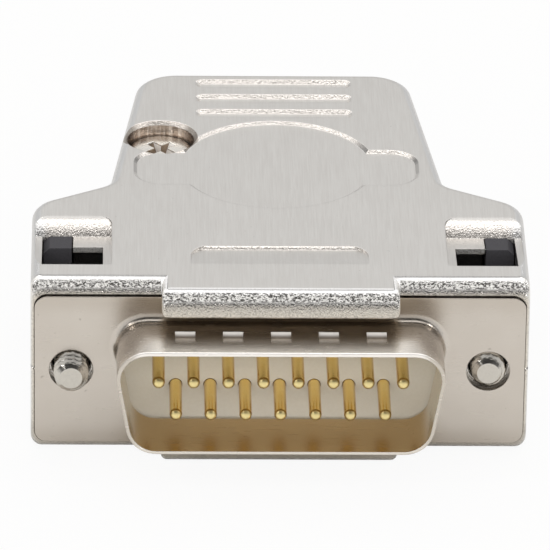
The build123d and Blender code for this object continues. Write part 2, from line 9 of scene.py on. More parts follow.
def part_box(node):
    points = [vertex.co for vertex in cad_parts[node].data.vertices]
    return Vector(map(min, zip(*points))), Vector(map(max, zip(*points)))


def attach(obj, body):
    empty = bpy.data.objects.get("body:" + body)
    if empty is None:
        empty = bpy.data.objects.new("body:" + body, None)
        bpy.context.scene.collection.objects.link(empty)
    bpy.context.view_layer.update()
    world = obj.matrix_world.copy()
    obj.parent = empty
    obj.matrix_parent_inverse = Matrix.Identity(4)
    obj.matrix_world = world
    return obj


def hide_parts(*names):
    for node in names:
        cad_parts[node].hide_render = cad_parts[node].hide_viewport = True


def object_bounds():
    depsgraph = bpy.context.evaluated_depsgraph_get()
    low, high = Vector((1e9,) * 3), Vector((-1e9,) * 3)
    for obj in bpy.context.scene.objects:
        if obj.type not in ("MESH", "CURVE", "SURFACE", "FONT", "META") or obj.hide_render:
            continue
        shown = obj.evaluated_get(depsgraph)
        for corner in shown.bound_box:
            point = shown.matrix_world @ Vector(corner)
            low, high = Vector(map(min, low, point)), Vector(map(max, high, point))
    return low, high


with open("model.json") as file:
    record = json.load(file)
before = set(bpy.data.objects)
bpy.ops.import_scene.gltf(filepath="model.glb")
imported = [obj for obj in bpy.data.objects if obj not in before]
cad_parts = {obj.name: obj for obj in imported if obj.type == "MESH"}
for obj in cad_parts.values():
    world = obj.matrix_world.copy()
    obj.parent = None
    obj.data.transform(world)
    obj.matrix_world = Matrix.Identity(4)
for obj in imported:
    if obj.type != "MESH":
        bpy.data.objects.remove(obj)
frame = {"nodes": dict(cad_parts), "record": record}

cad_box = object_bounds()

# Sizes and places are in millimetres, and mm turns them into metres
mm = 0.001

# Hood from the solids, and its outline as pairs of a place along Y and half the width there
half_width, hood_rear, half_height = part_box("hood_top")[1] / mm
shoulder = (14.95, half_width)
neck_root = (18.65, 13.67)
neck_rear = (hood_rear, 11.18)

# Hood walls, lips and recesses, as far as the finish of each reaches
bulkhead = 3.4
rear_wall = 2.0
deepest_recess = 1.15
front_rounding = 1.9
lip_half_width = 9.47
lip_reach = 2.4
lip_edge = front_rounding - lip_reach
lips_end = 2.6
pocket_end = 9.75
pocket_sides = (13.15, 19.4)
pocket_floor = 5.7
counterbore_reach = 3.05

# Plug shell, the row of dimples in its upper side, and the contacts
mouth_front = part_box("plug_shell")[0].y / mm
rim_depth = 0.14
flange_front = 0.0
dimple_ends = (-2.9, -1.25)
dimple_row_end = 9.3
dimple_foot = 3.75
dimple_light = 4.35
pin_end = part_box("pin_1")[0].y / mm
pin_rounding = 0.425

# Jackscrew
thread_radius = 1.4
thread_core = 1.07
thread_pitch = 0.635
thread_chamfer = 0.5
thread_length = 10.25
thread_crest = 0.2
thread_flank = 0.65
thread_steps = 14
ring_gap = 0.6
groove_radius = 0.85
shank_radius = 1.2
head_start = 20.9
head_length = 5.0
head_radius = 2.6
head_chamfer = 0.4
knurl_depth = 0.22
knurl_count = 40
slot_length = 2.5 * head_radius
slot_width = 0.8
slot_depth = 1.2
jackscrew_sides = 160

# Hood screw
screw_head_radius = 2.62
screw_head_height = 1.95
screw_head_sink = 1.05
screw_crown_run = 0.55
screw_crown_drop = 0.33
screw_crown_steps = 8
screw_flat_radius = 0.4
screw_shank_radius = 1.25
screw_reach = 4.4
cross_top = (3.1, 0.85)
cross_bottom = (1.3, 0.5)
cross_depth = 1.15
cross_turn = 42
cross_reach = 1.7
hood_screw_sides = 96

# Cutters stand this far out of the face that they cut, and edges over this angle stay sharp
cutter_clearance = 0.3
crease = radians(35)


class Value:
    """One output of a node tree, which takes part in sums as a number does."""

    def __init__(self, nodes, socket):
        self.nodes = nodes
        self.socket = socket

    def maths(self, operation, *terms):
        return self.nodes.add("ShaderNodeMath", {"operation": operation}, dict(enumerate(terms)))

    def __add__(self, other):
        return self.maths("ADD", self, other)

    def __radd__(self, other):
        return self.maths("ADD", other, self)

    def __sub__(self, other):
        return self.maths("SUBTRACT", self, other)

    def __rsub__(self, other):
        return self.maths("SUBTRACT", other, self)

    def __mul__(self, other):
        return self.maths("MULTIPLY", self, other)

    def __rmul__(self, other):
        return self.maths("MULTIPLY", other, self)

    def __truediv__(self, other):
        return self.maths("DIVIDE", self, other)

    def __neg__(self):
        return self.maths("MULTIPLY", self, -1.0)

    def size(self):
        """The value without its sign."""
        return self.maths("ABSOLUTE", self)

    def power(self, exponent):
        return self.maths("POWER", self, exponent)

    def larger(self, other):
        return self.maths("MAXIMUM", self, other)

    def smaller(self, other):
        return self.maths("MINIMUM", self, other)

    def arcsine(self):
        return self.maths("ARCSINE", self)

    def bearing(self, along):
        """Angle of a direction that goes this far up and that far along, in radians."""
        return self.maths("ARCTAN2", self, along)

    def rise(self, low, high):
        """A smooth step from 0 at low to 1 at high."""
        settings = {"interpolation_type": "SMOOTHSTEP"}
        return self.nodes.add("ShaderNodeMapRange", settings, {0: self, 1: low, 2: high, 3: 0.0, 4: 1.0})

    def fall(self, low, high):
        """A smooth step from 1 at low to 0 at high."""
        return 1.0 - self.rise(low, high)

    def past(self, edge, blur=0.1):
        """Mask of what lies beyond the edge, blurred to both sides of it."""
        return self.rise(edge - blur, edge + blur)

    def before(self, edge, blur=0.1):
        """Mask of what lies short of the edge, blurred to both sides of it."""
        return self.fall(edge - blur, edge + blur)


class Nodes:
    """Builds one node tree from expressions."""

    def __init__(self, tree):
        self.tree = tree
        tree.nodes.clear()

    def add(self, kind, settings=None, inputs=None, output=0):
        """Adds a node with its settings and its sockets' values or links, and gives one output."""
        made = self.tree.nodes.new(kind)
        for name, setting in (settings or {}).items():
            setattr(made, name, setting)
        for key, value in (inputs or {}).items():
            if isinstance(value, Value):
                self.tree.links.new(value.socket, made.inputs[key])
            else:
                made.inputs[key].default_value = value
        return Value(self, made.outputs[output]) if len(made.outputs) else None

    def split(self, vector):
        """A vector's three parts."""
        made = self.add("ShaderNodeSeparateXYZ", None, {0: vector})
        return [Value(self, output) for output in made.socket.node.outputs]

    def place(self):
        """Position on the piece, in millimetres."""
        position = self.add("ShaderNodeTexCoord", None, None, "Object")
        return self.add("ShaderNodeVectorMath", {"operation": "SCALE"}, {0: position, "Scale": 1 / mm})

    def stretch(self, vector, factors):
        return self.add("ShaderNodeVectorMath", {"operation": "MULTIPLY"}, {0: vector, 1: factors})

    def noise(self, vector, scale, detail=2.0, roughness=0.5):
        inputs = {"Vector": vector, "Scale": scale, "Detail": detail, "Roughness": roughness}
        return self.add("ShaderNodeTexNoise", None, inputs)

    def mix(self, factor, first, second):
        """Colour between two, by the factor."""
        return self.add("ShaderNodeMix", {"data_type": "RGBA"}, {0: factor, 6: first, 7: second}, 2)

    def paint(self, base, layers):
        """Lays colours over the base, one after another, each as far as its mask says."""
        for mask, coat in layers:
            base = self.mix(mask, base, coat)
        return base

    def rounded(self, radius):
        """Normal with every sharp edge softened over the radius, in millimetres."""
        return self.add("ShaderNodeBevel", {"samples": 6}, {"Radius": radius * mm})

    def bump(self, height, depth, normal):
        """Normal of a relief whose full height is the depth, in millimetres, on top of another."""
        inputs = {"Height": height, "Strength": 1.0, "Distance": depth * mm, "Normal": normal}
        return self.add("ShaderNodeBump", None, inputs)

    def ray(self, kind):
        """1 for the light rays of one kind and 0 for all others."""
        return self.add("ShaderNodeLightPath", None, None, f"Is {kind} Ray")

    def surface(self, inputs):
        """Closes the tree with one principled surface."""
        shader = self.add("ShaderNodeBsdfPrincipled", None, inputs)
        self.add("ShaderNodeOutputMaterial", None, {"Surface": shader})


class Spot:
    """Where a point of a finish lies, in millimetres, and which way the surface faces there."""

    def __init__(self, nodes):
        self.place = nodes.place()
        self.x, self.y, self.z = nodes.split(self.place)
        self.aside = self.x.size()
        self.height = self.z.size()
        facing = nodes.add("ShaderNodeTexCoord", None, None, "Normal")
        self.face_x, self.face_y, self.face_z = nodes.split(facing)
        self.face_aside = self.face_x.size()
        self.upright = self.face_z.size()


def new_finish(name):
    """An empty material and the builder of its nodes."""
    material = bpy.data.materials.new(name)
    material.use_nodes = True
    return material, Nodes(material.node_tree)


def colour(red, green, blue):
    return (red, green, blue, 1.0)


def near_hood_screws(at, radius):
    """Mask of what lies within the radius of either hood screw's axis, on its own side of the seam."""
    blur = 0.07
    mask = 0.0
    for face, side in (("top", 1.0), ("bottom", -1.0)):
        low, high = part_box(f"hood_screw_{face}")
        middle = (low + high) / 2 / mm
        apart = ((at.x - middle.x).power(2.0) + (at.y - middle.y).power(2.0)).power(0.5)
        mask = mask + apart.fall(radius, radius + blur) * (at.z * side).rise(1.0, 2.0)
    return mask


def hood_outline(y):
    """Half the hood's width by the place along it: straight sides, slanting shoulders, tapered neck."""
    slant = (shoulder[1] - neck_root[1]) / (neck_root[0] - shoulder[0])
    taper = (neck_root[1] - neck_rear[1]) / (neck_rear[0] - neck_root[0])
    shoulders = shoulder[1] + slant * shoulder[0] - slant * y
    neck = neck_root[1] + taper * neck_root[0] - taper * y
    return shoulders.larger(neck).smaller(half_width)


class HoodFaces:
    """Masks of the hood's kinds of face, each 0 to 1, from where a point lies and how it faces."""

    def __init__(self, at):
        from_side = hood_outline(at.y) - at.aside
        self.steep = at.upright.fall(0.90, 0.96)
        steep_wall = at.upright.fall(0.90, 0.97)

        # Cavity, between bulkhead and rear wall, with thicker sides towards the neck
        thin, thick = 0.6, 1.2
        side_wall = thin + at.y.rise(10.0, 13.0) * (thick - thin)
        within = (side_wall - from_side).before(0.0, 0.05)
        roof = half_height - deepest_recess
        deep = at.height.fall(roof - 0.35, roof)
        self.inside = within * deep * at.y.past(bulkhead) * at.y.before(hood_rear - rear_wall)

        # Rounded front and centre lip, and the angle through which the rounding has turned down
        self.front = at.y.before(front_rounding) * at.upright.fall(0.99, 0.9995)
        self.lip = at.aside.before(lip_half_width + 0.04, 0.02)
        sunk = (front_rounding - self.lip * lip_reach - at.y) / front_rounding
        self.lean = sunk.larger(0.0).smaller(1.0).arcsine()
        self.first_slope = self.front * (self.lean.fall(0.0, 0.75) - self.lean)

        # Painted dark reflection band and painted highlight band on the rounding, the highlight also on
        # the strip of the top along the lip's edge
        level = at.upright.rise(0.3, 0.5)
        dark_from = 0.40 - self.lip * 0.11
        dark_span = self.lean.past(dark_from, 0.04) * self.lean.fall(0.68, 0.88)
        self.painted_reflection_band = self.front * dark_span * level
        painted_highlight_band = self.front * self.lean.fall(0.26, 0.42) * level * at.face_aside.fall(0.25, 0.6)
        along_edge = self.lip * at.y.fall(lip_edge + 0.1, lip_edge + 0.3)
        edge_strip = along_edge * at.height.rise(half_height - 0.2, half_height - 0.1)
        self.painted_highlight_band = painted_highlight_band.larger(edge_strip)

        # Pockets of the windows, their sides, and the far walls of all recesses
        behind_lips = at.y.past(lips_end, 0.2)
        pocket_length = behind_lips * at.y.before(pocket_end, 0.25)
        pocket_width = at.aside.past(pocket_sides[0], 0.15) * at.aside.before(pocket_sides[1])
        pocket = pocket_length * pocket_width * at.height.past(pocket_floor, 0.2)
        pocket_side = pocket * at.face_aside.rise(0.15, 0.35) * steep_wall
        self.far_wall = at.face_y.fall(-0.3, -0.12) * behind_lips * (1.0 - self.front)
        self.rough = self.front.larger(self.far_wall).larger(self.inside).larger(pocket_side)

        # Counterbore of a hood screw, with the bevel round its rim
        self.bore = near_hood_screws(at, counterbore_reach) * steep_wall
        self.bore_bevel = self.bore * level
        self.cast_wall = self.far_wall * (1.0 - pocket) * (1.0 - self.bore)

        # Ends of the label field, whose slanting wall faces sideways there
        field = from_side.rise(1.4, 1.6) * at.y.rise(9.0, 10.0) * at.y.fall(26.0, 27.0)
        faces_sideways = at.face_aside.rise(0.40, 0.58) * at.face_y.fall(-0.25, 0.15)
        ends = field * faces_sideways * at.upright.fall(0.97, 0.995)
        self.field_end = ends * (1.0 - self.bore) * (1.0 - self.inside)

        # Rounded edge along the hood's sides
        self.side_rounding = from_side.fall(0.6, 1.5) * at.upright.fall(0.95, 0.998) * (1.0 - self.front)


def lip_layers(faces, specks, fine_specks):
    """Colours of the cast front: a painted highlight band above, a speckled band of painted dark
    reflections, and beige underneath.
    """
    underneath = colour(0.76, 0.71, 0.63)
    white = colour(0.98, 0.965, 0.95)
    grey_speck = colour(0.46, 0.43, 0.40)
    painted_fine_reflection_speck = colour(0.34, 0.31, 0.28)
    painted_dark_reflection = colour(0.06, 0.055, 0.05)
    # Painted highlight: the white colour with its grey specks; painted dark reflections: the brown and
    # black specks on the rough cast rounding
    return [(faces.front * faces.lean.rise(0.75, 1.0), underneath),
            (faces.painted_highlight_band, white),
            (faces.painted_highlight_band * fine_specks * 0.32, grey_speck),
            (fine_specks * faces.front * faces.lean.rise(0.60, 0.85) * 0.5, painted_fine_reflection_speck),
            (faces.painted_reflection_band * specks, painted_dark_reflection)]


def recess_layers(faces, fine_specks):
    """Colours of the cast walls that face forward in the recesses, and of the rounded sides."""
    cast = colour(0.84, 0.79, 0.74)
    cast_speck = colour(0.36, 0.33, 0.30)
    rounding = colour(0.735, 0.74, 0.745)
    speckled = faces.far_wall * 0.6 + faces.cast_wall * 0.1
    return [(faces.cast_wall, cast),
            (fine_specks * faces.steep * speckled, cast_speck),
            (faces.side_rounding * 0.6, rounding)]


def counterbore_layers(nodes, at, faces, fine_specks):
    """Colours round a hood screw: a streaked wall with painted shade at its sides, and a bevel in painted
    shade with a painted highlight at the back.
    """
    streaks = nodes.noise(nodes.stretch(at.place, (2.6, 2.6, 0.3)), 1.0, 2.0).rise(0.42, 0.62)
    wall = nodes.mix(streaks, colour(0.46, 0.36, 0.29), colour(0.84, 0.72, 0.62))
    # Painted shade on the wall's sides and on the bevel, and a painted highlight on the bevel's back
    painted_wall_side_shade = colour(0.20, 0.15, 0.12)
    painted_bevel_shade = colour(0.30, 0.27, 0.24)
    lit_bevel = colour(0.92, 0.85, 0.78)
    bevel_speck = colour(0.42, 0.36, 0.31)
    return [(faces.bore, wall),
            (faces.bore * at.face_aside.rise(0.45, 0.95), painted_wall_side_shade),
            (faces.bore_bevel, painted_bevel_shade),
            (faces.bore_bevel * at.face_y.fall(-0.62, -0.40), lit_bevel),
            (faces.bore_bevel * fine_specks * 0.3, bevel_speck)]


def painted_shade_and_pit_layers(nodes, at, faces):
    """Dark colours: painted shade on the label field's ends, in the cavity and on the front near the
    bench, and the casting's pits.
    """
    pits = nodes.noise(at.place, 3.1, 2.0).rise(0.72, 0.78)
    field_end = colour(0.14, 0.135, 0.13)
    pit = colour(0.42, 0.40, 0.37)
    cavity = colour(0.34, 0.33, 0.32)
    cavity_front = colour(0.10, 0.095, 0.09)
    near_bench = colour(0.42, 0.39, 0.35)
    # Painted shade on the field ends, the cavity and the front near the bench; the pits are the casting's
    # own
    return [(faces.field_end, field_end),
            (pits * 0.35 * (1.0 - faces.rough), pit),
            (faces.inside, cavity),
            (faces.inside * at.face_y.fall(-0.8, -0.5), cavity_front),
            (faces.front * at.z.fall(-5.5, -4.5) * 0.4, near_bench)]


def hood_relief(nodes, at, faces, grain, skin):
    """Normal of the hood: soft edges, the lips' first slope, brushing and the rough cast skin."""
    edge_softness = 0.14
    slope_depth = 0.19
    brushing_depth = 0.010
    skin_depth = 0.06
    sloped = nodes.bump(faces.first_slope, slope_depth, nodes.rounded(edge_softness))
    brushed = nodes.bump(grain, brushing_depth, sloped)
    less_on_walls = 0.4 + 0.6 * at.upright.rise(0.1, 0.4)
    return nodes.bump(skin * faces.rough * less_on_walls, skin_depth, brushed)


def hood_finish():
    """Nickel on a die casting: satin brushed outer faces, and a rough sparkling skin elsewhere, with
    painted highlights, reflections and shade.
    """
    material, nodes = new_finish("hood_nickel")
    at = Spot(nodes)
    faces = HoodFaces(at)
    grain = nodes.noise(nodes.stretch(at.place, (11.0, 0.3, 1.0)), 1.0, 3.0, 0.6)
    cloud = nodes.noise(at.place, 0.25, 2.0)
    skin = nodes.noise(nodes.stretch(at.place, (9.0, 6.5, 6.5)), 1.0, 1.0, 0.6)
    specks = nodes.noise(nodes.stretch(at.place, (4.3, 5.6, 7.6)), 1.0, 3.0, 0.85).rise(0.475, 0.525)
    fine_specks = nodes.noise(at.place, 7.0, 2.0, 0.8).rise(0.50, 0.60)

    sheen = cloud * 0.4 + grain.rise(0.3, 0.7) * 0.6
    satin = nodes.mix(sheen, colour(0.635, 0.612, 0.582), colour(0.705, 0.688, 0.66))
    cast_skin = nodes.mix(skin, colour(0.78, 0.76, 0.72), colour(0.97, 0.95, 0.92))
    base = nodes.mix(faces.rough, satin, cast_skin)
    base = nodes.paint(base, lip_layers(faces, specks, fine_specks))
    base = nodes.paint(base, recess_layers(faces, fine_specks))
    base = nodes.paint(base, counterbore_layers(nodes, at, faces, fine_specks))
    base = nodes.paint(base, painted_shade_and_pit_layers(nodes, at, faces))

    # The painted highlight and painted dark reflection bands are made partly diffuse
    painted_reflection_diffuse = faces.painted_reflection_band * 0.85
    nodes.surface({"Base Color": base,
                   "Metallic": 1.0 - painted_reflection_diffuse - faces.painted_highlight_band * 0.75 - faces.far_wall * 0.3,
                   "Roughness": 0.30 + grain * 0.10 - faces.rough * 0.20 + faces.inside * 0.3,
                   "Normal": hood_relief(nodes, at, faces, grain, skin)})
    return material


def sheet_finish():
    """Smooth nickel on drawn sheet, with faint drawing lines and a few specks, and painted reflections,
    highlights and shade in and round the mouth.
    """
    material, nodes = new_finish("sheet_nickel")
    at = Spot(nodes)
    lines = nodes.noise(nodes.stretch(at.place, (0.4, 6.0, 7.0)), 1.0, 2.0)
    waves = nodes.noise(at.place, 0.35, 1.0)
    specks = nodes.noise(at.place, 2.3, 1.0).rise(0.73, 0.77)

    # Inside of the mouth, its rim, and the walls of the dimples in its upper side
    before_flange = at.y.fall(flange_front - 0.3, flange_front + 0.1)
    inward = (at.x * at.face_x + at.z * at.face_z).fall(-0.5, -0.1) * before_flange
    outward = 1.0 - inward
    rim = at.y.before(mouth_front + rim_depth, 0.06) * outward
    dimple_length = at.y.past(dimple_ends[0]) * at.y.before(dimple_ends[1], 0.15)
    dimple_row = dimple_length * at.aside.before(dimple_row_end, 0.3) * at.z.past(dimple_foot, 0.15)
    dimple = at.face_y.fall(-0.55, -0.3) * dimple_row * (1.0 - rim)

    # What the hood's lips and the shell's sides keep the light from
    under_lip = at.aside.fall(lip_half_width - 0.3, lip_half_width + 0.5) * at.y.rise(-5.0, -1.2)
    sheltered = under_lip * at.upright.rise(0.3, 0.7) * outward * (1.0 - dimple)
    on_flange = at.y.rise(flange_front - 0.6, flange_front - 0.1)
    by_shell = at.aside.fall(10.0, 14.0) * at.height.rise(3.4, 5.8) * on_flange * 0.85
    flange_edge = at.height.rise(4.6, 6.3) * on_flange * 0.22
    shell_side = at.aside.rise(10.5, 12.2) * at.z.rise(1.0, 3.0) * at.y.rise(-5.6, -4.0) * outward
    near_rim = at.aside.fall(9.5, 11.0) * at.y.fall(-4.2, -2.6) * at.face_z.rise(0.5, 0.8) * outward

    speck = colour(0.36, 0.32, 0.28)
    # Painted reflections of the insulator and contacts: warm on the mouth's walls, golden on its floor
    painted_mouth_wall_reflection = colour(0.80, 0.74, 0.64)
    painted_mouth_floor_reflection = colour(0.56, 0.40, 0.21)
    shell_shadow = colour(0.30, 0.25, 0.20)
    # Painted highlight on the skirt's top near the rim
    painted_skirt_highlight = colour(0.97, 0.92, 0.85)
    lip_shadow = colour(0.45, 0.38, 0.30)
    # Painted highlights on the rim and its upper part, and painted shade at its ends
    painted_rim_highlight = colour(0.84, 0.79, 0.72)
    rim_light = colour(1.0, 0.955, 0.90)
    painted_upper_rim_highlight = colour(1.0, 0.96, 0.91)
    painted_rim_end_shade = colour(0.64, 0.59, 0.52)
    # Dimple walls: painted highlight above dimple_light, painted shade below
    painted_dimple_light_and_shade = nodes.mix(at.z.past(dimple_light, 0.11), colour(0.30, 0.26, 0.22), rim_light)
    base = nodes.mix(waves, colour(0.655, 0.60, 0.54), colour(0.71, 0.66, 0.60))
    base = nodes.paint(base, [(specks * 0.5, speck),
                              (inward, painted_mouth_wall_reflection),
                              (inward * at.face_z.rise(0.2, 0.8), painted_mouth_floor_reflection),
                              (shell_side * at.y.before(flange_front - 0.2) * 0.5, shell_shadow),
                              (near_rim, painted_skirt_highlight),
                              (sheltered.larger(by_shell + flange_edge), lip_shadow),
                              (rim, painted_rim_highlight),
                              (rim * at.face_z.rise(0.1, 0.4), rim_light),
                              (rim * at.z.rise(3.0, 4.0), painted_upper_rim_highlight),
                              (rim * at.aside.rise(11.0, 12.0), painted_rim_end_shade),
                              (dimple, painted_dimple_light_and_shade)])
    nodes.surface({"Base Color": base,
                   "Metallic": 1.0 - rim * 0.3 - dimple * 0.75,
                   "Roughness": 0.22 + lines * 0.08,
                   "Normal": nodes.bump(waves, 0.02, nodes.bump(lines, 0.0012, nodes.rounded(0.1)))})
    return material


def screw_finish():
    """Bright nickel on turned steel, with painted shade in the hood screws' cross recesses and a painted
    highlight on one flank of each.
    """
    material, nodes = new_finish("screw_nickel")
    at = Spot(nodes)
    turning = nodes.noise(at.place, 5.0, 2.0)
    hood_screw_head = at.y.rise(8.0, 9.0) * at.height.rise(4.0, 4.2)
    head_top = half_height - screw_head_sink
    below_top = at.height.fall(head_top - 0.12, head_top - 0.05)
    recess = near_hood_screws(at, cross_reach) * below_top
    lit_flank = recess * at.face_x.fall(-0.5, -0.2)

    base = nodes.mix(turning, colour(0.60, 0.57, 0.52), colour(0.73, 0.70, 0.64))
    # Lighter hood screw heads, painted shade in the cross recesses and a painted highlight on their lit
    # flank
    base = nodes.paint(base, [(hood_screw_head, colour(0.90, 0.87, 0.81)),
                              (recess, colour(0.34, 0.27, 0.21)),
                              (lit_flank, colour(1.0, 0.96, 0.91))])
    nodes.surface({"Base Color": base,
                   "Metallic": 1.0 - lit_flank * 0.9,
                   "Roughness": 0.14 + turning * 0.12,
                   "Normal": nodes.bump(turning, 0.006, nodes.rounded(0.06))})
    return material


def gold_finish():
    """Polished gold plate on the contacts, with painted shade at their sides, and a painted highlight with
    painted shade round it on their rounded tips.
    """
    material, nodes = new_finish("contact_gold")
    at = Spot(nodes)
    tone = nodes.noise(at.place, 1.6, 2.0)
    marks = nodes.noise(nodes.stretch(at.place, (6.0, 0.8, 6.0)), 1.0, 2.0)
    tip = at.y.before(pin_end + pin_rounding, 0.075)

    base = nodes.mix(tone, colour(0.95, 0.66, 0.19), colour(1.0, 0.78, 0.31))
    # Painted shade on the sides, a painted highlight on the tips, and painted shade on the tips' faces
    # turned from the front
    base = nodes.paint(base, [(at.face_aside.rise(0.45, 0.98) * (1.0 - tip), colour(0.66, 0.41, 0.10)),
                              (tip, colour(1.0, 0.83, 0.40)),
                              (tip * at.face_y.rise(-0.62, -0.30), colour(0.60, 0.35, 0.08))])
    nodes.surface({"Base Color": base,
                   "Metallic": 1.0,
                   "Roughness": 0.16 + marks * 0.1 + tip * 0.14,
                   "Normal": nodes.bump(marks, 0.004, nodes.rounded(0.05))})
    return material


def insulator_finish():
    """Matt filled plastic of the insulators."""
    material, nodes = new_finish("insulator_plastic")
    grain = nodes.noise(nodes.place(), 4.0, 3.0)
    nodes.surface({"Base Color": nodes.mix(grain, colour(0.82, 0.77, 0.65), colour(0.88, 0.84, 0.73)),
                   "Metallic": 0.0,
                   "Roughness": 0.5 + grain * 0.15,
                   "Normal": nodes.bump(grain, 0.01, nodes.rounded(0.06))})
    return material


def clip_finish():
    """Black moulded plastic of the screw clips."""
    material, nodes = new_finish("clip_plastic")
    grain = nodes.noise(nodes.place(), 6.0, 3.0)
    nodes.surface({"Base Color": nodes.mix(grain, colour(0.055, 0.053, 0.058), colour(0.08, 0.077, 0.084)),
                   "Metallic": 0.0,
                   "Roughness": 0.55 + grain * 0.15,
                   "Normal": nodes.bump(grain, 0.012, nodes.rounded(0.1)),
                   "IOR": 1.25})
    return material


def clamp_finish():
    """Nickel on the cast saddles, as cast all over."""
    material, nodes = new_finish("clamp_nickel")
    skin = nodes.noise(nodes.place(), 5.0, 3.0, 0.65)
    nodes.surface({"Base Color": nodes.mix(skin, colour(0.58, 0.56, 0.52), colour(0.76, 0.74, 0.70)),
                   "Metallic": 1.0,
                   "Roughness": 0.25 + skin * 0.15,
                   "Normal": nodes.bump(skin, 0.08, nodes.rounded(0.15))})
    return material


def dress(piece, material):
    """Gives the whole piece one material."""
    piece.data.materials.clear()
    piece.data.materials.append(material)


def smooth(mesh):
    """Shades a mesh smooth, but for its creases."""
    mesh.shade_smooth()
    mesh.set_sharp_from_angle(angle=crease)


def new_piece(name, form):
    """Links a closed form made in bmesh as a piece."""
    mesh = bpy.data.meshes.new(name)
    form.to_mesh(mesh)
    form.free()
    smooth(mesh)
    piece = bpy.data.objects.new(name, mesh)
    bpy.context.scene.collection.objects.link(piece)
    return piece


def turned(stations, sides):
    """Closed form of revolution about Y, from (depth, radius by angle) stations."""
    form = bmesh.new()
    rings = []
    for depth, radius in stations:
        ring = []
        for i in range(sides):
            angle = 2 * pi * i / sides
            reach = radius(angle)
            ring.append(form.verts.new((reach * cos(angle) * mm, depth * mm, reach * sin(angle) * mm)))
        rings.append(ring)
    for near, far in zip(rings, rings[1:]):
        for i in range(sides):
            j = (i + 1) % sides
            form.faces.new((near[i], near[j], far[j], far[i]))
    for depth, ring, flip in ((stations[0][0], rings[0], True), (stations[-1][0], rings[-1], False)):
        middle = form.verts.new((0, depth * mm, 0))
        for i in range(sides):
            pair = (ring[i], ring[(i + 1) % sides])
            form.faces.new((middle, *(reversed(pair) if flip else pair)))
    bmesh.ops.recalc_face_normals(form, faces=form.faces)
    return form


def plain(radius):
    """Radius that is the same all round."""
    return lambda angle: radius


def thread_ridge(share):
    """Height of a thread's profile from its core, 0 to 1, at a share of one turn."""
    climb = abs(share % 1 - 0.5) * 2
    return min(1.0, max(0.0, (climb - thread_crest) / thread_flank))


def threaded(along, limit):
    """Radius on the thread at a distance along from its tip, cut down to the limit."""
    def radius(angle):
        ridge = thread_ridge(along / thread_pitch - angle / (2 * pi))
        return min(limit, thread_core + ridge * (thread_radius - thread_core))
    return radius


def knurled(base):
    """Radius on the straight knurl."""
    def radius(angle):
        return base - knurl_depth * (0.5 - 0.5 * cos(knurl_count * angle))
    return radius


def carve(piece, cutter_form):
    """Cuts a closed form out of the piece."""
    cutter = new_piece("cutter", cutter_form)
    cut = piece.modifiers.new("cut", "BOOLEAN")
    cut.operation = "DIFFERENCE"
    cut.solver = "EXACT"
    cut.object = cutter
    bpy.context.view_layer.update()
    evaluated = piece.evaluated_get(bpy.context.evaluated_depsgraph_get())
    mesh = bpy.data.meshes.new_from_object(evaluated)
    piece.modifiers.clear()
    piece.data = mesh
    bpy.data.objects.remove(cutter)
    smooth(mesh)


def bar_form(top, bottom, depth, turn=0.0):
    """Block centred on Z, from just above z = 0 with the top size to the depth with the bottom size."""
    form = bmesh.new()
    corners = []
    for (length, width), z in ((top, cutter_clearance), (bottom, -depth)):
        for sx, sy in ((-1, -1), (1, -1), (1, 1), (-1, 1)):
            corner = Vector((sx * length / 2, sy * width / 2, z)) * mm
            corners.append(form.verts.new(Matrix.Rotation(radians(turn), 3, "Z") @ corner))
    form.faces.new(corners[3::-1])
    form.faces.new(corners[4:])
    for i in range(4):
        j = (i + 1) % 4
        form.faces.new((corners[i], corners[j], corners[j + 4], corners[i + 4]))
    bmesh.ops.recalc_face_normals(form, faces=form.faces)
    return form


def jackscrew_stations(tip):
    """Stations of the jackscrew from its tip: thread, groove for the ring, shank and knurled head."""
    steps = int(thread_length / thread_pitch * thread_steps)
    stations = []
    for i in range(steps + 1):
        along = thread_length * i / steps
        limit = thread_radius - thread_chamfer + along
        stations.append((tip + along, threaded(along, limit)))
    groove = tip + thread_length
    shank = groove + ring_gap
    head = tip + head_start
    end = head + head_length
    knurl_root = plain(head_radius - knurl_depth)
    return stations + [(groove, plain(groove_radius)), (shank, plain(groove_radius)),
                       (shank, plain(shank_radius)), (head, plain(shank_radius)),
                       (head, plain(head_radius - head_chamfer)), (head + head_chamfer, knurl_root),
                       (head + head_chamfer, knurled(head_radius)),
                       (end - head_chamfer, knurled(head_radius)),
                       (end - head_chamfer, knurl_root), (end, plain(head_radius - head_chamfer))]


def make_jackscrew(side, finish):
    """Captive screw with its helical thread, retaining groove and knurled, slotted head."""
    node = f"jackscrew_{side}"
    low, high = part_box(node)
    stations = jackscrew_stations(low.y / mm)
    end = stations[-1][0]
    piece = new_piece(f"{node}_detailed", turned(stations, jackscrew_sides))
    slot_size = (slot_length, slot_width)
    slot = bar_form(slot_size, slot_size, slot_depth)
    bmesh.ops.rotate(slot, verts=slot.verts, matrix=Matrix.Rotation(radians(-90), 3, "X"))
    bmesh.ops.translate(slot, verts=slot.verts, vec=(0, end * mm, 0))
    carve(piece, slot)
    piece.data.transform(Matrix.Translation(((low.x + high.x) / 2, 0, 0)))
    dress(piece, finish)
    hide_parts(node)
    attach(piece, node)


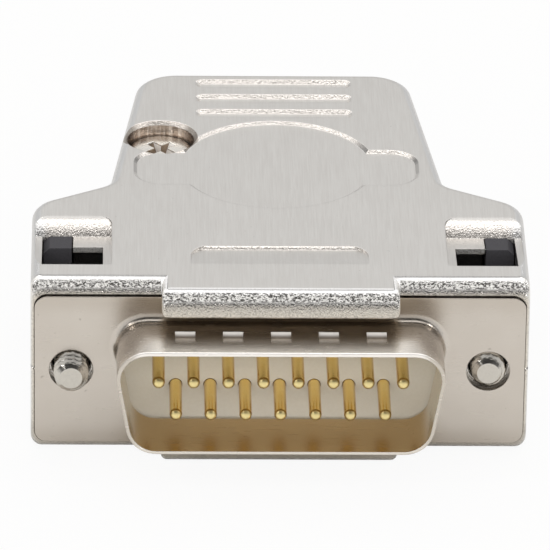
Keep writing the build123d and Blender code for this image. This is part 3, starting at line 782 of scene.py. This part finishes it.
def make_hood_screw(face, finish):
    """Pan-head screw with its cross recess, down its counterbore."""
    node = f"hood_screw_{face}"
    low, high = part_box(node)
    top = half_height - screw_head_sink
    base = top - screw_head_height
    flat = screw_head_radius - screw_crown_run
    stations = [(-top, plain(screw_flat_radius))]
    for i in reversed(range(screw_crown_steps + 1)):
        lean = radians(90 * i / screw_crown_steps)
        drop = screw_crown_drop * (1 - sin(lean))
        stations.append((-top + drop, plain(flat + screw_crown_run * cos(lean))))
    stations += [(-base, plain(screw_head_radius)), (-base, plain(screw_shank_radius)),
                 (screw_reach, plain(screw_shank_radius))]
    piece = new_piece(f"{node}_detailed", turned(stations, hood_screw_sides))
    piece.data.transform(Matrix.Rotation(radians(-90), 4, "X"))
    for turn in (cross_turn, cross_turn + 90):
        wing = bar_form(cross_top, cross_bottom, cross_depth, turn)
        bmesh.ops.translate(wing, verts=wing.verts, vec=(0, 0, top * mm))
        carve(piece, wing)
    if face == "bottom":
        piece.data.transform(Matrix.Rotation(pi, 4, "Y"))
    piece.data.transform(Matrix.Translation(((low.x + high.x) / 2, (low.y + high.y) / 2, 0)))
    dress(piece, finish)
    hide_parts(node)
    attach(piece, "hood")


def build_surround():
    """Surround: white to the camera, pale walls and an overhead panel to the metal's reflections."""
    world = bpy.data.worlds.new("surround")
    bpy.context.scene.world = world
    world.use_nodes = True
    nodes = Nodes(world.node_tree)
    depth, up = nodes.split(nodes.add("ShaderNodeTexCoord", None, None, "Generated"))[1:]

    # Strengths by the angle from the front horizon, up and over to the back one
    over = up.bearing(-depth)
    front_wall = 0.70
    to_dark_gap = over.rise(radians(36), radians(43)) * -0.66
    to_panel = over.rise(radians(74), radians(82)) * 1.1
    to_back_wall = over.rise(radians(136), radians(155)) * -0.47
    reflected = front_wall + to_dark_gap + to_panel + to_back_wall
    all_round = 0.62
    from_front = (-depth).rise(0.2, 0.9) * 1.1
    soft_light = all_round + from_front

    camera_ray = nodes.ray("Camera")
    diffuse_ray = nodes.ray("Diffuse")
    on_object = diffuse_ray * soft_light + (1.0 - diffuse_ray) * reflected
    strength = camera_ray + (1.0 - camera_ray) * on_object
    backdrop = nodes.add("ShaderNodeBackground", None, {"Color": colour(1, 1, 1), "Strength": strength})
    nodes.add("ShaderNodeOutputWorld", None, {"Surface": backdrop})


def build_floor():
    """Pale card under the object, nearly white to the camera but for the object's shadow."""
    reach = 1500 * mm
    gap = 0.02 * mm
    level = cad_box[0][2] - gap
    shadow_share = 0.08
    form = bmesh.new()
    form.faces.new([form.verts.new((sx * reach, sy * reach, level))
                    for sx, sy in ((-1, -1), (1, -1), (1, 1), (-1, 1))])
    floor = new_piece("floor", form)
    material, nodes = new_finish("floor_card")
    matt = nodes.add("ShaderNodeBsdfDiffuse", None, {"Color": colour(0.86, 0.85, 0.83)})
    glow = nodes.add("ShaderNodeEmission", None, {"Color": colour(1, 1, 1), "Strength": 1.0})
    share = nodes.ray("Camera") * (1 - shadow_share)
    card = nodes.add("ShaderNodeMixShader", None, {0: share, 1: matt, 2: glow})
    nodes.add("ShaderNodeOutputMaterial", None, {"Surface": card})
    dress(floor, material)


def build_lamps():
    """Broad lamp overhead and a small one high on each side, all aimed at the object."""
    # Name, place in metres, size in metres, power in watts
    lamps = [("overhead", (0.0, 0.3, 0.75), (0.9, 0.5), 1.2),
             ("left_glint", (-0.55, -0.2, 0.5), (0.06, 0.06), 0.35),
             ("right_glint", (0.6, -0.1, 0.5), (0.06, 0.06), 0.35)]
    for name, location, size, power in lamps:
        lamp = bpy.data.lights.new(name, "AREA")
        lamp.shape = "RECTANGLE"
        lamp.size, lamp.size_y = size
        lamp.energy = power
        holder = bpy.data.objects.new(name, lamp)
        holder.location = location
        holder.rotation_euler = (-Vector(location)).to_track_quat("-Z", "Y").to_euler()
        bpy.context.scene.collection.objects.link(holder)


def add_camera():
    """Camera above and in front of the mouth, a hair to its left, with a long lens."""
    distance = 600 * mm
    pitch = radians(27.0)
    yaw = radians(-1.37)
    roll = radians(0.86)
    sensor = 36.0
    frame_pixels = 550
    pixels_per_mm = 12.519
    origin_pixel = (279.7, 370.45)
    back = Vector((sin(yaw) * cos(pitch), -cos(yaw) * cos(pitch), sin(pitch)))
    level_right = Vector((cos(yaw), sin(yaw), 0))
    level_up = back.cross(level_right)
    right = cos(roll) * level_right + sin(roll) * level_up
    up = cos(roll) * level_up - sin(roll) * level_right
    aside = (frame_pixels / 2 - origin_pixel[0]) / pixels_per_mm * mm
    above = (origin_pixel[1] - frame_pixels / 2) / pixels_per_mm * mm
    camera = bpy.data.cameras.new("camera")
    camera.sensor_width = sensor
    camera.lens = sensor * pixels_per_mm * distance / mm / frame_pixels
    camera.clip_start = 10 * mm
    holder = bpy.data.objects.new("camera", camera)
    holder.matrix_world = Matrix((right, up, back)).transposed().to_4x4()
    holder.location = distance * back + aside * right + above * up
    bpy.context.scene.collection.objects.link(holder)
    bpy.context.scene.camera = holder


finishes = {"hood_metal": hood_finish(), "sheet_metal": sheet_finish(), "screw_metal": screw_finish(),
            "gold_contact": gold_finish(), "insulator": insulator_finish(), "black_plastic": clip_finish(),
            "clamp_metal": clamp_finish()}
for subpart in frame["record"]["subparts"]:
    dress(frame["nodes"][subpart["node"]], finishes[subpart["material_slot"]])

for side in ("left", "right"):
    make_jackscrew(side, finishes["screw_metal"])
for face in ("top", "bottom"):
    make_hood_screw(face, finishes["screw_metal"])

build_surround()
build_floor()
build_lamps()
add_camera()
bpy.context.scene.view_settings.view_transform = "Standard"
